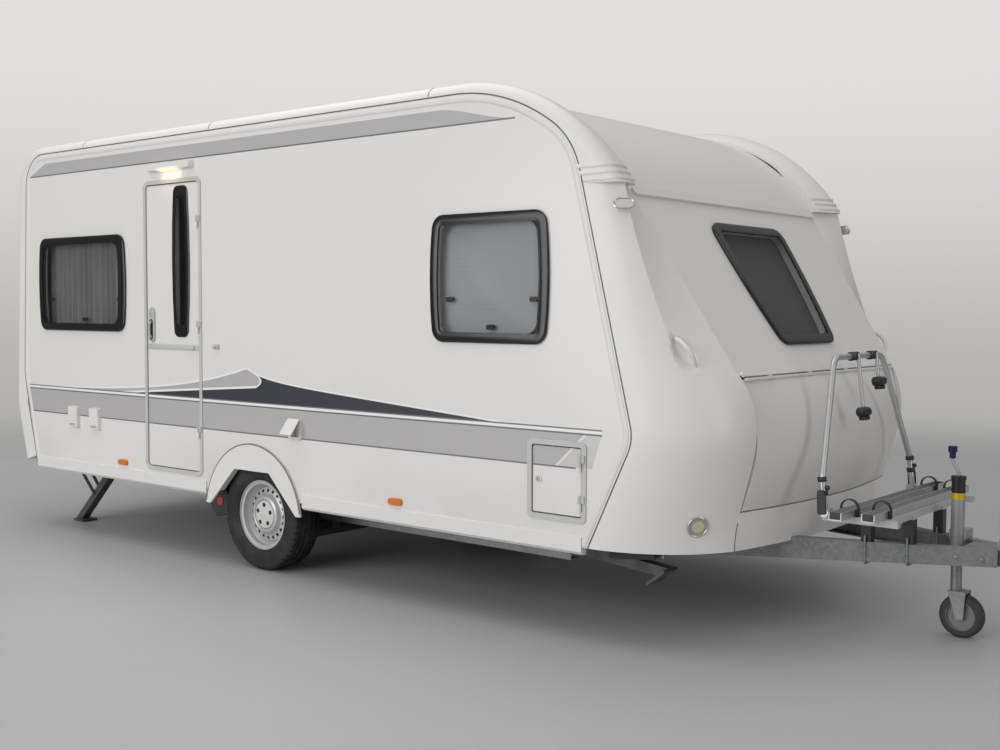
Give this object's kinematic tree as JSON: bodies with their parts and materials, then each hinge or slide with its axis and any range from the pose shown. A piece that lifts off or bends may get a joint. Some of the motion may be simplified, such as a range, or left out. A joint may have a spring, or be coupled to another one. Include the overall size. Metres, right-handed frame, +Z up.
{
  "type": "travel caravan",
  "caption": "White single-axle touring caravan with raked front, raised roof edge mouldings, dark framed windows, grey and navy side stripes and a cycle carrier on the drawbar.",
  "frame": {"origin": "on the ground, in the middle of the overall length and width", "axes": "+X forwards to the coupling, +Y to the left side, +Z up"},
  "size_m": [6.6779, 2.4008, 2.582],
  "materials": {
    "body_white": "gloss",
    "moulding_white": "gloss",
    "trim_white": "satin",
    "floor_grey": "matte",
    "seal_black": "satin",
    "tinted_acrylic": "tinted",
    "blind_grey": "matte",
    "curtain_cloth": "matte",
    "hatch_acrylic": "satin",
    "handle_grey": "satin",
    "warm_lens": "gloss",
    "amber_lens": "gloss",
    "clear_lens": "clear",
    "red_lens": "gloss",
    "galvanised": "galvanised",
    "cast_dark": "satin",
    "wheel_silver": "satin",
    "tyre_rubber": "matte",
    "carrier_alu": "satin"
  },
  "bodies": {
    "caravan": {"awning_lamp": "warm_lens", "axle": "galvanised", "carrier_base": "galvanised", "carrier_rails": "carrier_alu", "carrier_straps": "seal_black", "chassis_frame": "galvanised", "coupling_bellows": "seal_black", "coupling_head": "cast_dark", "door_frames": "trim_white", "drawbar_arms": "galvanised", "floor_panel": "floor_grey", "fridge_vents": "trim_white", "front_apron": "moulding_white", "front_corner_mouldings": "moulding_white", "front_lamps": "clear_lens", "front_trims": "trim_white", "front_wall": "body_white", "grab_handles": "moulding_white", "jockey_tube": "galvanised", "overrun_housing": "galvanised", "rear_bumper": "trim_white", "rear_corner_mouldings": "moulding_white", "rear_lamps": "red_lens", "rear_side_curtain": "curtain_cloth", "rear_wall": "body_white", "roof_edge_mouldings": "moulding_white", "roof_hatches": "hatch_acrylic", "roof_panel": "body_white", "side_markers": "amber_lens", "side_skirts": "trim_white", "side_wall_left": "body_white", "side_wall_right": "body_white", "steady_frames": "galvanised", "wall_sockets": "trim_white", "window_blinds": "blind_grey", "window_frames": "seal_black", "window_panes": "tinted_acrylic"},
    "wheel_right": {"wheel_rim_right": "wheel_silver", "tyre_right": "tyre_rubber"},
    "wheel_left": {"wheel_rim_left": "wheel_silver", "tyre_left": "tyre_rubber"},
    "jockey_swivel": {"jockey_fork": "galvanised"},
    "jockey_roller": {"jockey_wheel": "tyre_rubber"},
    "door": {"entrance_door": "body_white", "door_pane": "tinted_acrylic", "door_handle": "handle_grey"},
    "hatch_right": {"service_door_right": "body_white"},
    "hatch_left": {"service_door_left": "body_white"},
    "inlet_flap": {"socket_flap": "trim_white"},
    "hoop": {"carrier_hoop": "carrier_alu", "carrier_arms": "seal_black"},
    "locker": {"locker_lid": "moulding_white"},
    "steady_rear_right": {"leg_rear_right": "galvanised"},
    "stay_rear_right": {"strut_rear_right": "galvanised"},
    "steady_rear_left": {"leg_rear_left": "galvanised"},
    "stay_rear_left": {"strut_rear_left": "galvanised"},
    "steady_front_right": {"leg_front_right": "galvanised"},
    "stay_front_right": {"strut_front_right": "galvanised"},
    "steady_front_left": {"leg_front_left": "galvanised"},
    "stay_front_left": {"strut_front_left": "galvanised"}
  },
  "joints": [
    {"name": "wheel_right_spin", "type": "hinge", "parent": "caravan", "child": "wheel_right", "pos_m": [-0.768, -1.0125, 0.314], "axis": [0, 1, 0], "continuous": true},
    {"name": "wheel_left_spin", "type": "hinge", "parent": "caravan", "child": "wheel_left", "pos_m": [-0.768, 1.0125, 0.314], "axis": [0, 1, 0], "continuous": true},
    {"name": "jockey_swivel_turn", "type": "hinge", "parent": "caravan", "child": "jockey_swivel", "pos_m": [2.735, 0.062, 0.4], "axis": [0, 0, 1], "continuous": true},
    {"name": "jockey_wheel_spin", "type": "hinge", "parent": "jockey_swivel", "child": "jockey_roller", "pos_m": [2.765, 0.062, 0.1], "axis": [0, 1, 0], "continuous": true},
    {"name": "door_open", "type": "hinge", "parent": "caravan", "child": "door", "pos_m": [-1.247, -1.164, 1.371], "axis": [0, 0, 1], "range_deg": [0, 165]},
    {"name": "hatch_right_open", "type": "hinge", "parent": "caravan", "child": "hatch_right", "pos_m": [1.499, -1.164, 0.717], "axis": [0, 0, 1], "range_deg": [0, 110]},
    {"name": "hatch_left_open", "type": "hinge", "parent": "caravan", "child": "hatch_left", "pos_m": [-1.553, 1.164, 0.73], "axis": [0, 0, -1], "range_deg": [0, 110]},
    {"name": "inlet_flap_lift", "type": "hinge", "parent": "caravan", "child": "inlet_flap", "pos_m": [-0.402, -1.166, 0.885], "axis": [-1, 0, 0], "range_deg": [-34, 48]},
    {"name": "hoop_fold", "type": "hinge", "parent": "caravan", "child": "hoop", "pos_m": [2.354, 0, 0.6], "axis": [0, 1, 0], "range_deg": [0, 60]},
    {"name": "locker_open", "type": "hinge", "parent": "caravan", "child": "locker", "pos_m": [2.114, 0, 1.186], "axis": [0, -1, 0], "range_deg": [0, 33]},
    {"name": "steady_rear_right_swing", "type": "hinge", "parent": "caravan", "child": "steady_rear_right", "pos_m": [-2.64, -0.85, 0.372], "axis": [0, 1, 0], "range_deg": [0, 37.5]},
    {"name": "stay_rear_right_swing", "type": "hinge", "parent": "steady_rear_right", "child": "stay_rear_right", "pos_m": [-2.80765, -0.85, 0.21454], "axis": [0, 1, 0], "range_deg": [-75, 0]},
    {"name": "steady_rear_left_swing", "type": "hinge", "parent": "caravan", "child": "steady_rear_left", "pos_m": [-2.64, 0.85, 0.372], "axis": [0, 1, 0], "range_deg": [0, 37.5]},
    {"name": "stay_rear_left_swing", "type": "hinge", "parent": "steady_rear_left", "child": "stay_rear_left", "pos_m": [-2.80765, 0.85, 0.21454], "axis": [0, 1, 0], "range_deg": [-75, 0]},
    {"name": "steady_front_right_swing", "type": "hinge", "parent": "caravan", "child": "steady_front_right", "pos_m": [1.25, -0.85, 0.372], "axis": [0, 1, 0], "range_deg": [0, 37.5]},
    {"name": "stay_front_right_swing", "type": "hinge", "parent": "steady_front_right", "child": "stay_front_right", "pos_m": [1.47894, -0.85, 0.34996], "axis": [0, 1, 0], "range_deg": [-75, 0]},
    {"name": "steady_front_left_swing", "type": "hinge", "parent": "caravan", "child": "steady_front_left", "pos_m": [1.25, 0.85, 0.372], "axis": [0, 1, 0], "range_deg": [0, 37.5]},
    {"name": "stay_front_left_swing", "type": "hinge", "parent": "steady_front_left", "child": "stay_front_left", "pos_m": [1.47894, 0.85, 0.34996], "axis": [0, 1, 0], "range_deg": [-75, 0]}
  ],
  "couplings": [
    {"joint": "locker_open", "follows": "hoop_fold", "ratio": 0.55},
    {"joint": "stay_rear_right_swing", "follows": "steady_rear_right_swing", "ratio": -2},
    {"joint": "stay_rear_left_swing", "follows": "steady_rear_left_swing", "ratio": -2},
    {"joint": "stay_front_right_swing", "follows": "steady_front_right_swing", "ratio": -2},
    {"joint": "stay_front_left_swing", "follows": "steady_front_left_swing", "ratio": -2}
  ]
}
